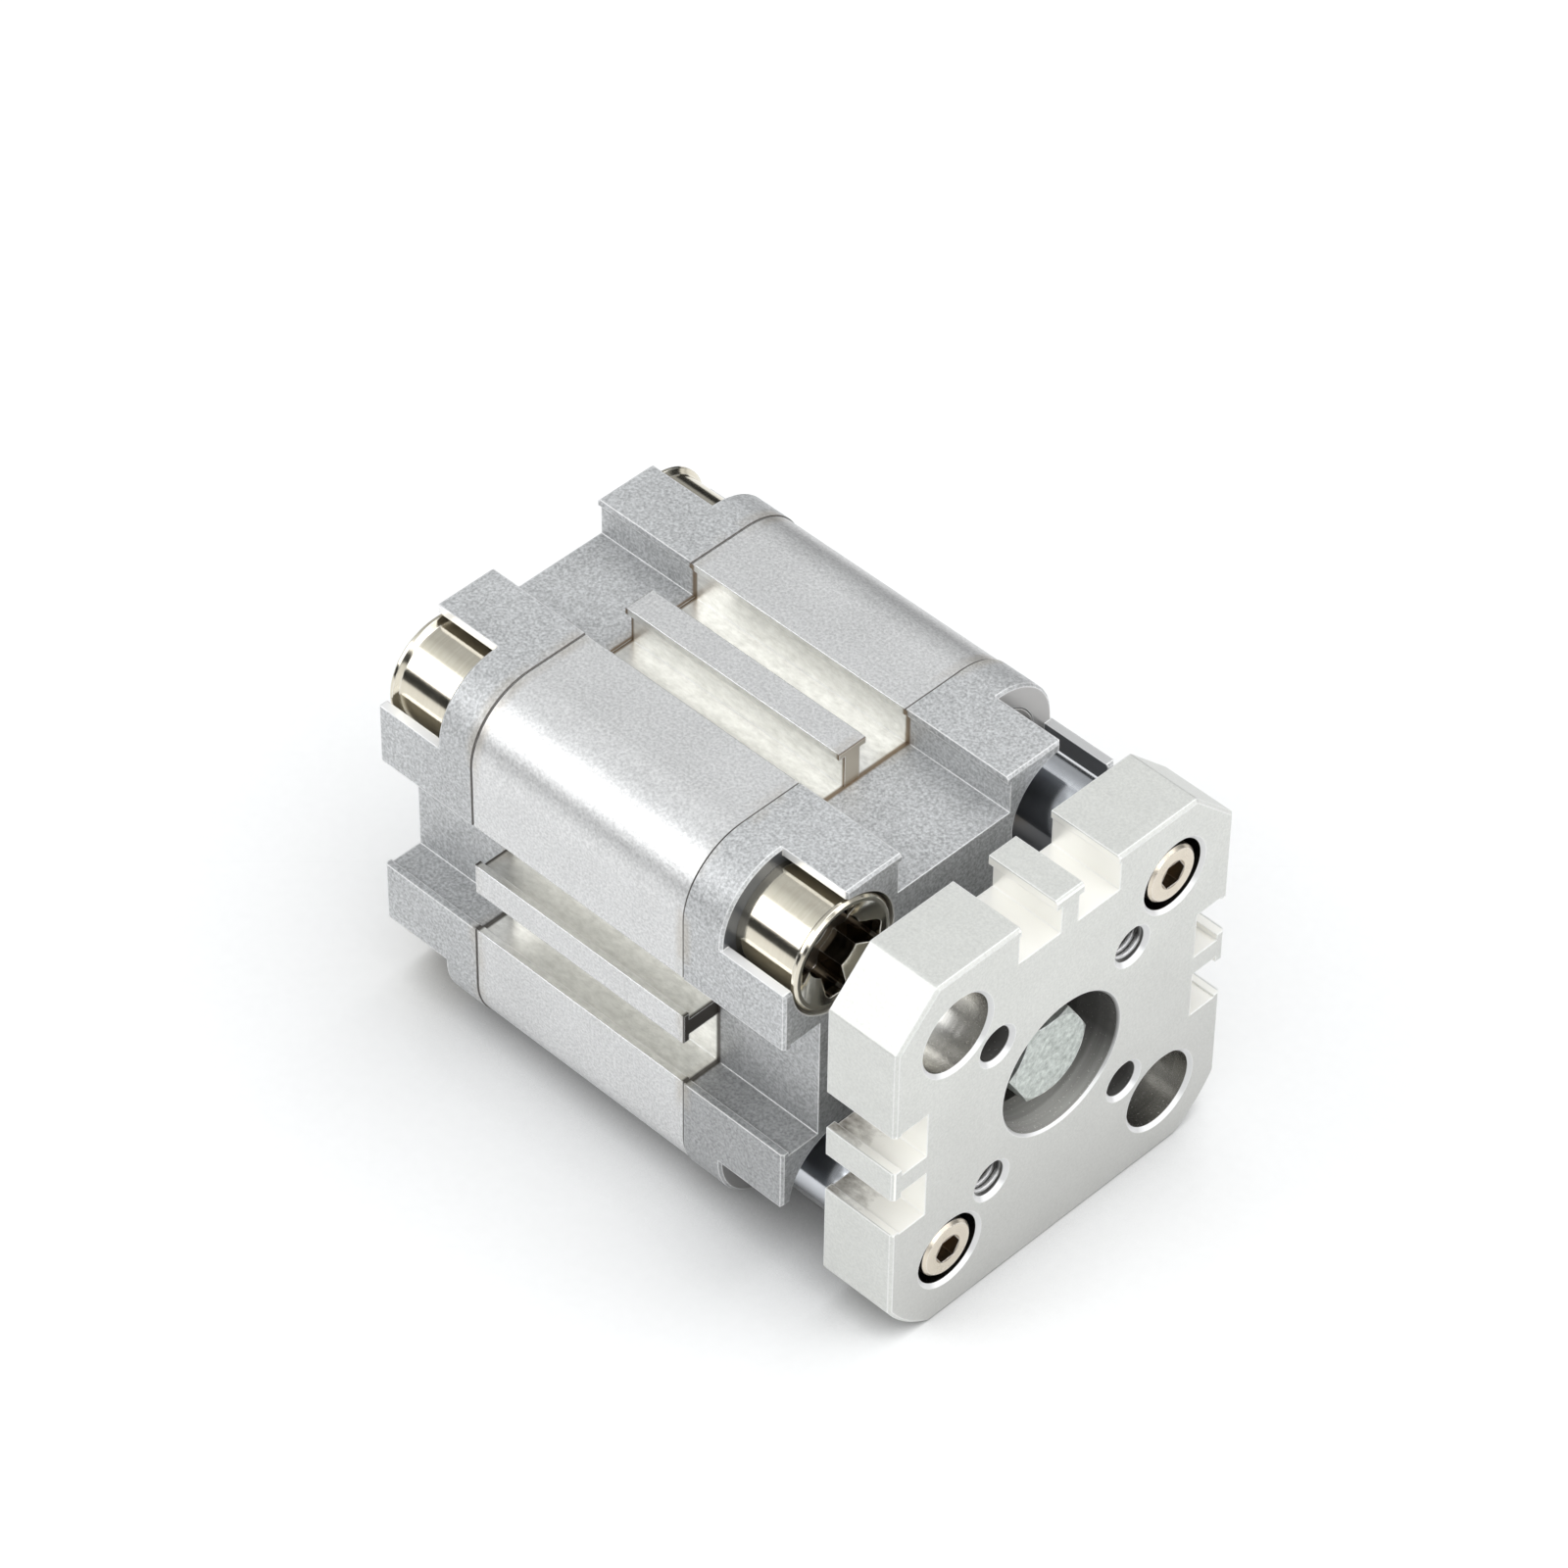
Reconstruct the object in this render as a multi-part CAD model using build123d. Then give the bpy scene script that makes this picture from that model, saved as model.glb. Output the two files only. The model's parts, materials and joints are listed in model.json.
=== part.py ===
from build123d import *
import os

# Guided compact pneumatic cylinder: square body, two guide rods, front plate.
#
# All lengths are millimetres. X runs along the cylinder axis, from the rear mounting face at X = 0
# towards the front plate. Z is up, and the side at -Y is the left side seen from the plate.
# The plate is modelled fully drawn in, as in the photograph.

# Stroke and bore
stroke = 15.0
bore_radius = 16.0
rod_radius = 6.0
guide_rod_radius = 4.0

# Square body: both caps and the barrel
corner_wall = 1.0274
body_margin = 8.4
end_cap_length = 14.2
bearing_cap_length = 14.6
barrel_inset = 0.1
seam_chamfer = 0.15
edge_break = 0.3
cut_spare = 1.0

# Channel that runs along each side of the body
channel_opening = 15.55
channel_floor_width = 16.5
channel_side_wall = 3.23
channel_lip = 0.9

# Rib of the barrel that parts each channel into two sensor slots
rib_head_width = 3.9
rib_head_thickness = 0.85
rib_stem_width = 2.2

# Corner pockets of the caps
pocket_depth = 9.1
ear_setback = 0.34
pocket_clearance = 1.0

# Spigots of the caps in the barrel, with their seal rings and end stops
spigot_length = 2.9
spigot_clearance = 0.05
oring_groove_start = 0.9
oring_groove_width = 1.2
oring_groove_depth = 1.1
bumper_margin = 1.1
bumper_width = 2.2
bumper_seat_depth = 1.1
bumper_proud = 0.4
end_play = 0.05

# Air ports on the right side, one in each cap
port_radius = 4.4
port_chamfer = 0.6
port_axial_position = 7.1
passage_radius = 1.4
passage_wall = 0.4

# Collar nuts, mouth outwards, and the tie tubes between them
nut_wall = 0.8
nut_rim_step = 0.6
nut_rim_thickness = 0.35
nut_flare_length = 1.1
nut_rim_bevel = 0.3
nut_rim_land = 0.7
nut_mouth_depth = 1.3
nut_socket_depth = 4.6
nut_key_radius = 3.7
nut_key_slots = 4
nut_key_slot_width = 3.0
nut_key_slot_wall = 0.65
nut_key_slot_rounding = 0.8
nut_key_slot_angle = 84.0
tube_clearance = 0.1
tube_thread_radius = 2.6

# Guide tubes and their bushes
guide_bush_wall = 0.62
guide_tube_wall = 0.85
guide_tube_web = 7.0
guide_bush_length = 11.0
guide_bush_gap = 3.0
guide_bush_recess = 0.1
guide_running_clearance = 0.03

# Piston rod bush and wiper seal in the bearing cap
rod_bush_wall = 1.47
rod_bush_length = 9.5
rod_running_clearance = 0.03
rod_seal_width = 3.5
rod_seal_depth = 4.2
rod_seal_thickness = 3.8
rod_seal_lip_height = 0.9

# Piston with two seals and a magnet ring
piston_clearance = 0.2
piston_flange = 1.0
piston_seal_width = 1.9
piston_land = 0.9
piston_magnet_width = 2.0
piston_groove_depth = 2.4
piston_magnet_cover = 0.4
seal_running_clearance = 0.04
piston_shoulder = 2.0
piston_nut_across_flats = 13.0
piston_nut_thickness = 2.8
piston_nut_clearance = 0.5
piston_nut_recess = 0.4

# Front plate
plate_gap = 6.5
plate_overhang = 0.4
plate_thickness = 9.5
plate_corner_chamfer = 5.8
plate_corner_rounding = 0.5
plate_corner_bulge = 0.55
plate_edge_break = 0.35
notched_quarter_turns = (0, 1, 3)
notch_opening = 14.38
notch_floor_width = 14.9
notch_depth = 4.8
notch_lip = 1.0
tongue_width = 3.97
tongue_head_thickness = 1.2
tongue_stem_width = 2.5
centre_bore_radius = 8.5
plate_bolt_recess = 1.6
centre_bore_chamfer = 0.3
plate_thread_spacing = 20.0
plate_thread_radius = 2.1
plate_thread_countersink = 0.55
access_hole_radius = 4.7
hole_chamfer = 0.45

# Fasteners of the plate
plate_bolt_across_flats = 10.0
plate_bolt_head_height = 4.0
plate_bolt_radius = 3.0
plate_bolt_clearance = 0.3
plate_bolt_crown_height = 1.0
plate_bolt_crown_inset = 0.73
plate_bolt_grip_in_rod = 12.0
rod_seat_depth = 1.0
guide_screw_head_radius = 3.5
guide_screw_head_height = 4.0
guide_screw_recess = 0.25
guide_screw_radius = 2.0
guide_screw_clearance = 0.2
guide_screw_socket_across_flats = 3.0
guide_screw_socket_depth = 2.0
guide_screw_length = 11.0
guide_screw_head_clearance = 0.75
guide_rod_seat_depth = 2.0
seat_clearance = 0.05
thread_bore_spare = 2.0
head_bevel = 0.35
rod_bevel = 0.5
guide_rod_end_gap = 1.0

# Sizes across the axis, worked out from the sizes above
guide_tube_bore_radius = guide_rod_radius + guide_running_clearance + guide_bush_wall
tube_radius = guide_tube_bore_radius + guide_tube_wall
half_spacing = (bore_radius + corner_wall + tube_radius + tube_clearance) / 2**0.5
half_body = half_spacing + body_margin
body_corner_radius = body_margin
body_width = 2 * half_body
plate_width = body_width + 2 * plate_overhang
channel_depth = half_body - bore_radius - channel_side_wall
pocket_edge = half_spacing - ear_setback
nut_radius = tube_radius + nut_wall
nut_rim_radius = nut_radius + nut_rim_step
nut_mouth_radius = nut_rim_radius - nut_rim_land
nut_key_slot_reach = nut_radius - nut_key_slot_wall
pocket_radius = nut_radius + pocket_clearance
rod_bush_radius = rod_radius + rod_running_clearance + rod_bush_wall
rod_seal_radius = rod_radius + rod_seal_width
bumper_inner_radius = rod_bush_radius + bumper_margin
bumper_outer_radius = bumper_inner_radius + bumper_width
passage_offset = bumper_outer_radius + passage_wall + passage_radius
piston_radius = bore_radius - piston_clearance
piston_spigot_radius = rod_radius - piston_shoulder
piston_counterbore_radius = piston_nut_across_flats / 3**0.5 + piston_nut_clearance
piston_counterbore_depth = piston_nut_thickness + piston_nut_recess
guide_screw_counterbore_radius = guide_screw_head_radius + guide_screw_head_clearance
centre_bore_depth = plate_bolt_head_height + plate_bolt_recess

# Stations along the axis
piston_length = 2 * (piston_flange + piston_seal_width + piston_land) + piston_magnet_width
chamber_length = stroke + piston_length + 2 * (bumper_proud + end_play)
barrel_length = chamber_length + 2 * spigot_length
rear_seam_x = end_cap_length
front_seam_x = rear_seam_x + barrel_length
body_front_x = front_seam_x + bearing_cap_length
rear_pocket_x = pocket_depth
front_pocket_x = body_front_x - pocket_depth
rear_spigot_x = rear_seam_x + spigot_length
front_spigot_x = front_seam_x - spigot_length
piston_rear_x = rear_spigot_x + bumper_proud + end_play
piston_front_x = piston_rear_x + piston_length
plate_back_x = body_front_x + plate_gap
plate_front_x = plate_back_x + plate_thickness
bore_floor_x = plate_front_x - centre_bore_depth
rod_front_x = plate_back_x + rod_seat_depth
guide_rod_front_x = plate_back_x + guide_rod_seat_depth
tube_rear_x = nut_socket_depth
tube_front_x = body_front_x - nut_socket_depth

# Corners of the square, as signs of Y and Z
corner_signs = {
    "upper_left": (-1, 1),
    "upper_right": (1, 1),
    "lower_left": (-1, -1),
    "lower_right": (1, -1),
}
through_corners = ("upper_left", "lower_right")
guide_corners = ("upper_right", "lower_left")


def closed_face(points):
    """Flat face inside a closed outline."""
    return make_face(Polyline(*points, close=True))


def prism(profile, x_start, x_end):
    """Extrude a profile drawn in (Y, Z) from x_start to x_end."""
    return extrude(Plane.YZ.offset(x_start) * profile, amount=x_end - x_start)


def bar(radius, x_start, x_end, y=0.0, z=0.0):
    """Round bar along X."""
    return prism(Pos(y, z) * Circle(radius), x_start, x_end)


def ring(outer_radius, inner_radius, x_start, x_end, y=0.0, z=0.0):
    """Plain round ring along X."""
    profile = Pos(y, z) * (Circle(outer_radius) - Circle(inner_radius))
    return prism(profile, x_start, x_end)


def turned(points, y=0.0, z=0.0):
    """Revolve a closed outline of (x, radius) points about the X direction."""
    return Pos(0, y, z) * revolve(closed_face(points), axis=Axis.X)


def around_sides(profile, quarter_turns=(0, 1, 2, 3)):
    """Repeat a (Y, Z) profile of the +Z side on the sides at these quarter turns."""
    return Sketch() + [Rot(0, 0, 90 * turns) * profile for turns in quarter_turns]


def at_corners(profile, names):
    """Repeat a (Y, Z) profile at the named corners of the hole square."""
    places = [corner_signs[name] for name in names]
    return Sketch() + [Pos(sy * half_spacing, sz * half_spacing) * profile for sy, sz in places]


def undercut_channel(opening, floor_width, depth, lip, surface):
    """Open channel on the +Z side whose walls step outwards below a lip."""
    above = surface + cut_spare
    step = surface - lip
    right = [(opening / 2, above), (opening / 2, step), (floor_width / 2, step)]
    right.append((floor_width / 2, surface - depth))
    left = [(-y, z) for y, z in reversed(right)]
    return closed_face(right + left)


def slot_beside_rib(rib, channel, surface):
    """Half of a channel on the +Z side, between a T-shaped rib and the undercut wall.

    rib is (head width, head thickness, stem width), and channel is
    (opening, floor width, depth, lip), as named at the top.
    """
    head_width, head_thickness, stem_width = rib
    opening, floor_width, depth, lip = channel
    above = surface + cut_spare
    floor = surface - depth
    step = surface - lip
    under_head = surface - head_thickness
    return closed_face([
        (head_width / 2, above),
        (head_width / 2, under_head),
        (stem_width / 2, under_head),
        (stem_width / 2, floor),
        (floor_width / 2, floor),
        (floor_width / 2, step),
        (opening / 2, step),
        (opening / 2, above),
    ])


def both_halves(slot):
    """A slot and its mirror image on the other side of the rib."""
    return slot + mirror(slot, about=Plane.YZ)


def outer_end_edges(solid, x):
    """Edges of the outer outline of the flat end face at x."""
    faces = solid.faces().filter_by(Axis.X).filter_by_position(Axis.X, x - 0.001, x + 0.001)
    return faces.sort_by(SortBy.AREA)[-1].outer_wire().edges()


def cap_channels():
    """The channels on the four sides of a cap."""
    return around_sides(undercut_channel(
        channel_opening, channel_floor_width, channel_depth, channel_lip, half_body
    ))


def cap_ear_outline():
    """Square of a cap without its corners: a wide cross."""
    outline = Rectangle(body_width, body_width)
    corner_centre = pocket_edge + half_body / 2
    for sy, sz in corner_signs.values():
        outline -= Pos(sy * corner_centre, sz * corner_centre) * Rectangle(half_body, half_body)
    return outline


def spigot(seam_x, tip_x):
    """Round spigot of a cap in the barrel, with its seal groove and end stop seat."""
    toward_tip = 1 if tip_x > seam_x else -1
    radius = bore_radius - spigot_clearance
    body = bar(radius, min(seam_x, tip_x), max(seam_x, tip_x))
    groove_x = sorted((
        seam_x + toward_tip * oring_groove_start,
        seam_x + toward_tip * (oring_groove_start + oring_groove_width),
    ))
    body -= ring(bore_radius + cut_spare, bore_radius - oring_groove_depth, *groove_x)
    seat_x = sorted((tip_x, tip_x - toward_tip * bumper_seat_depth))
    return body - ring(bumper_outer_radius, bumper_inner_radius, *seat_x)


def port_cut(port_x, chamber_x):
    """Threaded port from the right side and its drilled passage to the chamber."""
    channel_floor = half_body - channel_depth
    bottom = passage_offset - passage_radius
    outline = [
        (bottom, 0),
        (bottom, port_radius),
        (channel_floor - port_chamfer, port_radius),
        (channel_floor, port_radius + port_chamfer),
        (channel_floor + cut_spare, port_radius + port_chamfer),
        (channel_floor + cut_spare, 0),
    ]
    drill = closed_face([(radius, y) for y, radius in outline])
    port = Pos(port_x, 0, 0) * revolve(drill, axis=Axis.Y)
    passage = bar(passage_radius, min(port_x, chamber_x), max(port_x, chamber_x), y=passage_offset)
    return port + passage


def cap_body(outer_x, pocket_x, seam_x, tip_x):
    """Cap shared by both ends: block, ears beside the pockets, spigot and corner passages."""
    inward = 1 if seam_x > outer_x else -1
    outline = RectangleRounded(body_width, body_width, body_corner_radius)
    block = prism(outline, *sorted((pocket_x, seam_x)))
    block = chamfer(outer_end_edges(block, pocket_x), edge_break)
    block = chamfer(outer_end_edges(block, seam_x), seam_chamfer)
    ears = prism(cap_ear_outline(), *sorted((outer_x, pocket_x + inward * 2 * edge_break)))
    ears = chamfer(outer_end_edges(ears, outer_x), edge_break)
    ears -= prism(at_corners(Circle(pocket_radius), corner_signs), *sorted((outer_x, pocket_x)))
    body = block + ears - prism(cap_channels(), *sorted((outer_x, seam_x)))
    body += spigot(seam_x, tip_x)
    passages = at_corners(Circle(tube_radius + tube_clearance), corner_signs)
    return body - prism(passages, *sorted((outer_x, seam_x)))


def make_end_cap():
    """Rear cap, closed, with the rear air port."""
    body = cap_body(0.0, rear_pocket_x, rear_seam_x, rear_spigot_x)
    return body - port_cut(port_axial_position, rear_spigot_x)


def make_bearing_cap():
    """Front cap that carries the rod bush, the rod seal and the guide tubes, with its port."""
    body = cap_body(body_front_x, front_pocket_x, front_seam_x, front_spigot_x)
    body -= bar(rod_bush_radius, front_spigot_x, body_front_x)
    body -= bar(rod_seal_radius, body_front_x - rod_seal_depth, body_front_x)
    return body - port_cut(body_front_x - port_axial_position, front_spigot_x)


def make_barrel():
    """Extruded barrel with the bore, four corner passages and eight sensor slots."""
    surface = half_body - barrel_inset
    width = 2 * surface
    rib = (rib_head_width, rib_head_thickness, rib_stem_width)
    channel = (channel_opening, channel_floor_width, channel_depth, channel_lip)
    slot = slot_beside_rib(rib, channel, surface)
    shell = prism(RectangleRounded(width, width, body_corner_radius), rear_seam_x, front_seam_x)
    for x in (rear_seam_x, front_seam_x):
        shell = chamfer(outer_end_edges(shell, x), seam_chamfer)
    cuts = Circle(bore_radius) + at_corners(Circle(tube_radius + tube_clearance), corner_signs)
    cuts += around_sides(both_halves(slot))
    return shell - prism(cuts, rear_seam_x, front_seam_x)


def make_oring(seam_x, toward_tip):
    """Seal ring in the groove of a spigot, squeezed to the width of the groove."""
    x_start, x_end = sorted((
        seam_x + toward_tip * oring_groove_start,
        seam_x + toward_tip * (oring_groove_start + oring_groove_width),
    ))
    return ring(bore_radius, bore_radius - oring_groove_depth, x_start, x_end)


def make_bumper(tip_x, toward_tip):
    """Elastic end stop, seated in the face of a spigot and standing proud of it."""
    x_start, x_end = sorted((tip_x - toward_tip * bumper_seat_depth, tip_x + toward_tip * bumper_proud))
    return ring(bumper_outer_radius, bumper_inner_radius, x_start, x_end)


def make_rod_bush():
    """Plain bush that carries the piston rod."""
    inner = rod_radius + rod_running_clearance
    return ring(rod_bush_radius, inner, front_spigot_x, front_spigot_x + rod_bush_length)


def make_rod_seal():
    """Wiper seal round the piston rod, with a raised lip."""
    inner = rod_radius + rod_running_clearance
    back = body_front_x - rod_seal_depth
    front = back + rod_seal_thickness
    outline = [
        (back, inner),
        (back, rod_seal_radius),
        (front - rod_seal_lip_height, rod_seal_radius),
        (front - rod_seal_lip_height, inner + 2 * rod_seal_lip_height),
        (front, inner + rod_seal_lip_height / 2),
        (front, inner),
    ]
    return turned(outline)


def nut_socket_profile():
    """Drive socket of a collar nut: round hole with rounded key slots."""
    reach = nut_key_slot_reach
    slot = Pos(reach / 2, 0) * RectangleRounded(reach, nut_key_slot_width, nut_key_slot_rounding)
    turns = [nut_key_slot_angle + 360 / nut_key_slots * index for index in range(nut_key_slots)]
    return Circle(nut_key_radius) + [Rot(0, 0, turn) * slot for turn in turns]


def make_collar_nut(name):
    """Hollow collar nut at a corner of the rear face, mouth towards -X."""
    sleeve = turned([
        (0, 0),
        (0, nut_rim_radius - nut_rim_bevel),
        (nut_rim_bevel, nut_rim_radius),
        (nut_rim_bevel + nut_rim_thickness, nut_rim_radius),
        (nut_flare_length, nut_radius),
        (pocket_depth, nut_radius),
        (pocket_depth, tube_radius),
        (nut_socket_depth, tube_radius),
        (nut_socket_depth, 0),
    ])
    mouth = turned([(0, 0), (0, nut_mouth_radius), (nut_mouth_depth, nut_key_radius), (nut_mouth_depth, 0)])
    nut = sleeve - mouth - prism(nut_socket_profile(), 0, nut_socket_depth)
    sy, sz = corner_signs[name]
    return Pos(0, sy * half_spacing, sz * half_spacing) * nut


def make_front_collar_nut(name):
    """The same nut at the front face, mouth towards +X."""
    return Pos(body_front_x, 0, 0) * mirror(make_collar_nut(name), about=Plane.YZ)


def make_tie_tube(name):
    """Hollow tie between two collar nuts, which a mounting screw passes through."""
    sy, sz = corner_signs[name]
    tube = ring(tube_radius, tube_thread_radius, tube_rear_x, tube_front_x)
    return Pos(0, sy * half_spacing, sz * half_spacing) * tube


def make_guide_tube(name):
    """Tie tube with two bushes for a guide rod, screwed into the bearing cap and flush with it."""
    sy, sz = corner_signs[name]
    outline = [
        (tube_rear_x, tube_thread_radius),
        (tube_rear_x, tube_radius),
        (front_pocket_x, tube_radius),
        (front_pocket_x, guide_tube_bore_radius),
        (tube_rear_x + guide_tube_web, guide_tube_bore_radius),
        (tube_rear_x + guide_tube_web, tube_thread_radius),
    ]
    return turned(outline, sy * half_spacing, sz * half_spacing)


def make_guide_bush(name, front_x):
    """Thin plain bush that carries a guide rod."""
    sy, sz = corner_signs[name]
    inner = guide_rod_radius + guide_running_clearance
    y, z = sy * half_spacing, sz * half_spacing
    return ring(guide_tube_bore_radius, inner, front_x - guide_bush_length, front_x, y, z)


def piston_grooves():
    """Start of the rear seal groove, the magnet groove and the front seal groove."""
    rear = piston_rear_x + piston_flange
    magnet = rear + piston_seal_width + piston_land
    front = magnet + piston_magnet_width + piston_land
    return rear, magnet, front


def make_piston():
    """Piston with three ring grooves and the counterbore of its nut."""
    body = bar(piston_radius, piston_rear_x, piston_front_x)
    rear, magnet, front = piston_grooves()
    floor = piston_radius - piston_groove_depth
    grooves = ((rear, piston_seal_width), (magnet, piston_magnet_width), (front, piston_seal_width))
    for start, width in grooves:
        body -= ring(bore_radius, floor, start, start + width)
    body -= bar(piston_spigot_radius, piston_rear_x, piston_front_x)
    return body - bar(piston_counterbore_radius, piston_rear_x, piston_rear_x + piston_counterbore_depth)


def make_piston_seal(start):
    """Piston seal ring that fills its groove and runs in the bore."""
    outer = bore_radius - seal_running_clearance
    inner = piston_radius - piston_groove_depth
    return ring(outer, inner, start, start + piston_seal_width)


def make_piston_magnet():
    """Magnet ring that the sensors on the barrel read."""
    start = piston_grooves()[1]
    outer = piston_radius - piston_magnet_cover
    inner = piston_radius - piston_groove_depth
    return ring(outer, inner, start, start + piston_magnet_width)


def hexagon(across_flats):
    """Hexagon with two flats across Z."""
    return RegularPolygon(across_flats / 2, 6, major_radius=False)


def make_piston_nut():
    """Hexagon nut that holds the piston on the rod, sunk in the piston."""
    profile = hexagon(piston_nut_across_flats) - Circle(piston_spigot_radius)
    end = piston_rear_x + piston_counterbore_depth
    return prism(profile, end - piston_nut_thickness, end)


def make_piston_rod():
    """Piston rod with the spigot for the piston and a threaded bore for the plate bolt."""
    spigot_rear = piston_rear_x + piston_counterbore_depth - piston_nut_thickness
    bore_end = rod_front_x - plate_bolt_grip_in_rod - thread_bore_spare
    outline = [
        (spigot_rear, 0),
        (spigot_rear, piston_spigot_radius),
        (piston_front_x, piston_spigot_radius),
        (piston_front_x, rod_radius),
        (rod_front_x - rod_bevel, rod_radius),
        (rod_front_x, rod_radius - rod_bevel),
        (rod_front_x, plate_bolt_radius),
        (bore_end, plate_bolt_radius),
        (bore_end, 0),
    ]
    return turned(outline)


def plate_outline():
    """Square of the front plate with flat bevels at the top corners and bulging ones below."""
    half = plate_width / 2
    near = half - plate_corner_chamfer
    middle = (half + near) / 2 + plate_corner_bulge / 2**0.5
    top = [(-half, -near), (-half, near), (-near, half), (near, half), (half, near), (half, -near)]
    outline = Polyline(*top)
    outline += ThreePointArc((half, -near), (middle, -middle), (near, -half))
    outline += Line((near, -half), (-near, -half))
    outline += ThreePointArc((-near, -half), (-middle, -middle), (-half, -near))
    face = make_face(outline)
    return fillet(face.vertices(), radius=plate_corner_rounding)


def plate_notches():
    """Two undercut notches beside a T-shaped tongue, on every side of the plate but the bottom."""
    tongue = (tongue_width, tongue_head_thickness, tongue_stem_width)
    notch = (notch_opening, notch_floor_width, notch_depth, notch_lip)
    slots = both_halves(slot_beside_rib(tongue, notch, plate_width / 2))
    return around_sides(slots, notched_quarter_turns)


def chamfered_hole(radius, chamfer_size, x_back, x_front, y=0.0, z=0.0):
    """Round hole that opens towards +X with a chamfered mouth."""
    outline = [
        (x_back, 0),
        (x_back, radius),
        (x_front - chamfer_size, radius),
        (x_front, radius + chamfer_size),
        (x_front, 0),
    ]
    return turned(outline, y, z)


def make_front_plate():
    """Front plate with its centring bore, four threads, access holes and rod seats."""
    plate = prism(plate_outline(), plate_back_x, plate_front_x)
    plate = chamfer(outer_end_edges(plate, plate_front_x), plate_edge_break)
    plate -= prism(plate_notches(), plate_back_x, plate_front_x)
    plate -= chamfered_hole(centre_bore_radius, centre_bore_chamfer, bore_floor_x, plate_front_x)
    plate -= bar(plate_bolt_radius + plate_bolt_clearance, plate_back_x, bore_floor_x)
    plate -= bar(rod_radius + seat_clearance, plate_back_x, rod_front_x)
    for sy, sz in corner_signs.values():
        y, z = sy * plate_thread_spacing / 2, sz * plate_thread_spacing / 2
        thread = (plate_thread_radius, plate_thread_countersink, plate_back_x, plate_front_x)
        plate -= chamfered_hole(*thread, y, z)
    for name in through_corners:
        sy, sz = corner_signs[name]
        y, z = sy * half_spacing, sz * half_spacing
        plate -= chamfered_hole(access_hole_radius, hole_chamfer, plate_back_x, plate_front_x, y, z)
    screw_seat_x = plate_front_x - guide_screw_head_height - guide_screw_recess
    for name in guide_corners:
        sy, sz = corner_signs[name]
        y, z = sy * half_spacing, sz * half_spacing
        counterbore = (guide_screw_counterbore_radius, hole_chamfer, screw_seat_x, plate_front_x)
        plate -= chamfered_hole(*counterbore, y, z)
        plate -= bar(guide_screw_radius + guide_screw_clearance, plate_back_x, screw_seat_x, y, z)
        plate -= bar(guide_rod_radius + seat_clearance, plate_back_x, guide_rod_front_x, y, z)
    return plate


def make_plate_bolt():
    """Hexagon bolt in the centring bore that holds the plate on the piston rod."""
    head_end = bore_floor_x + plate_bolt_head_height
    head = prism(hexagon(plate_bolt_across_flats), bore_floor_x, head_end)
    corner_radius = plate_bolt_across_flats / 3**0.5
    crown = turned([
        (bore_floor_x, 0),
        (bore_floor_x, corner_radius + plate_bolt_crown_height),
        (head_end - plate_bolt_crown_height, corner_radius + plate_bolt_crown_height),
        (head_end, corner_radius - plate_bolt_crown_inset),
        (head_end, 0),
    ])
    shank = bar(plate_bolt_radius, rod_front_x - plate_bolt_grip_in_rod, bore_floor_x)
    return (head & crown) + shank


def make_guide_rod(name):
    """Polished guide rod, seated in the plate and running in the guide tube."""
    sy, sz = corner_signs[name]
    rear = tube_rear_x + guide_tube_web + guide_rod_end_gap
    bore_end = plate_front_x - guide_screw_recess - guide_screw_head_height - guide_screw_length
    bore_end -= thread_bore_spare
    outline = [
        (rear, 0),
        (rear, guide_rod_radius - rod_bevel),
        (rear + rod_bevel, guide_rod_radius),
        (guide_rod_front_x, guide_rod_radius),
        (guide_rod_front_x, guide_screw_radius),
        (bore_end, guide_screw_radius),
        (bore_end, 0),
    ]
    return turned(outline, sy * half_spacing, sz * half_spacing)


def make_guide_screw(name):
    """Socket head screw that holds a guide rod to the plate."""
    sy, sz = corner_signs[name]
    head_end = plate_front_x - guide_screw_recess
    seat = head_end - guide_screw_head_height
    outline = [
        (seat - guide_screw_length, 0),
        (seat - guide_screw_length, guide_screw_radius),
        (seat, guide_screw_radius),
        (seat, guide_screw_head_radius),
        (head_end - head_bevel, guide_screw_head_radius),
        (head_end, guide_screw_head_radius - head_bevel),
        (head_end, 0),
    ]
    socket_floor = head_end - guide_screw_socket_depth
    socket = prism(hexagon(guide_screw_socket_across_flats), socket_floor, head_end)
    return Pos(0, sy * half_spacing, sz * half_spacing) * (turned(outline) - socket)


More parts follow.
